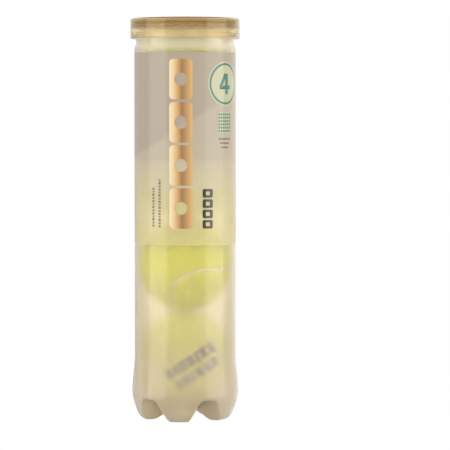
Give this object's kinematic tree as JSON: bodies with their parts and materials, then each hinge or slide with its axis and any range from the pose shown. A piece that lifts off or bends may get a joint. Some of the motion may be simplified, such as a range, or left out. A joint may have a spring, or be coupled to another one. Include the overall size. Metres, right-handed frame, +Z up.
{
  "type": "tennis ball can",
  "caption": "Tall clear blown-plastic can with petal feet and a printed film label, holding a stack of felt balls under a ring-pull metal end and a tinted push-on lid.",
  "frame": {"origin": "on the ground plane, at the centre of the can's ring of feet", "axes": "+Z up along the can's axis, towards the lid; -Y is the front, where the label's artwork is centred"},
  "size_m": [0.0786, 0.0786, 0.2876],
  "materials": {
    "clear_shell": "gloss",
    "label_film": "satin",
    "end_metal": "satin",
    "tab_metal": "satin",
    "sealant": "matte",
    "tinted_lid": "gloss",
    "felt": "matte",
    "rubber": "matte",
    "seam_cement": "matte"
  },
  "bodies": {
    "can": {"can_body": "clear_shell", "label_sleeve": "label_film", "end_ring": "end_metal", "seam_compound": "sealant"},
    "ball_1": {"ball_1_core_half_a": "rubber", "ball_1_core_half_b": "rubber", "ball_1_felt_panel_a": "felt", "ball_1_felt_panel_b": "felt", "ball_1_felt_seam": "seam_cement"},
    "ball_2": {"ball_2_core_half_a": "rubber", "ball_2_core_half_b": "rubber", "ball_2_felt_panel_a": "felt", "ball_2_felt_panel_b": "felt", "ball_2_felt_seam": "seam_cement"},
    "ball_3": {"ball_3_core_half_a": "rubber", "ball_3_core_half_b": "rubber", "ball_3_felt_panel_a": "felt", "ball_3_felt_panel_b": "felt", "ball_3_felt_seam": "seam_cement"},
    "ball_4": {"ball_4_core_half_a": "rubber", "ball_4_core_half_b": "rubber", "ball_4_felt_panel_a": "felt", "ball_4_felt_panel_b": "felt", "ball_4_felt_seam": "seam_cement"},
    "panel": {"tear_panel": "end_metal", "tab_tongue": "tab_metal"},
    "tab": {"pull_tab": "tab_metal"},
    "cap": {"overcap": "tinted_lid"}
  },
  "joints": [
    {"name": "ball_1_lift", "type": "slide", "parent": "can", "child": "ball_1", "axis": [0, 0, 1], "range_m": [0, 0.2804]},
    {"name": "ball_2_lift", "type": "slide", "parent": "ball_1", "child": "ball_2", "axis": [0, 0, 1], "range_m": [0, 0.2136]},
    {"name": "ball_3_lift", "type": "slide", "parent": "ball_2", "child": "ball_3", "axis": [0, 0, 1], "range_m": [0, 0.1468]},
    {"name": "ball_4_lift", "type": "slide", "parent": "ball_3", "child": "ball_4", "axis": [0, 0, 1], "range_m": [0, 0.08]},
    {"name": "panel_lift", "type": "slide", "parent": "ball_4", "child": "panel", "axis": [0, 0, 1], "range_m": [0, 0.05]},
    {"name": "cap_lift", "type": "slide", "parent": "panel", "child": "cap", "axis": [0, 0, 1], "range_m": [0, 0.06]},
    {"name": "tab_hinge", "type": "hinge", "parent": "panel", "child": "tab", "pos_m": [-0.0293, 0, 0.279], "axis": [0, -1, 0], "range_deg": [0, 86]}
  ],
  "couplings": [
    {"joint": "tab_hinge", "follows": "cap_lift", "rad_per_m": 25}
  ]
}
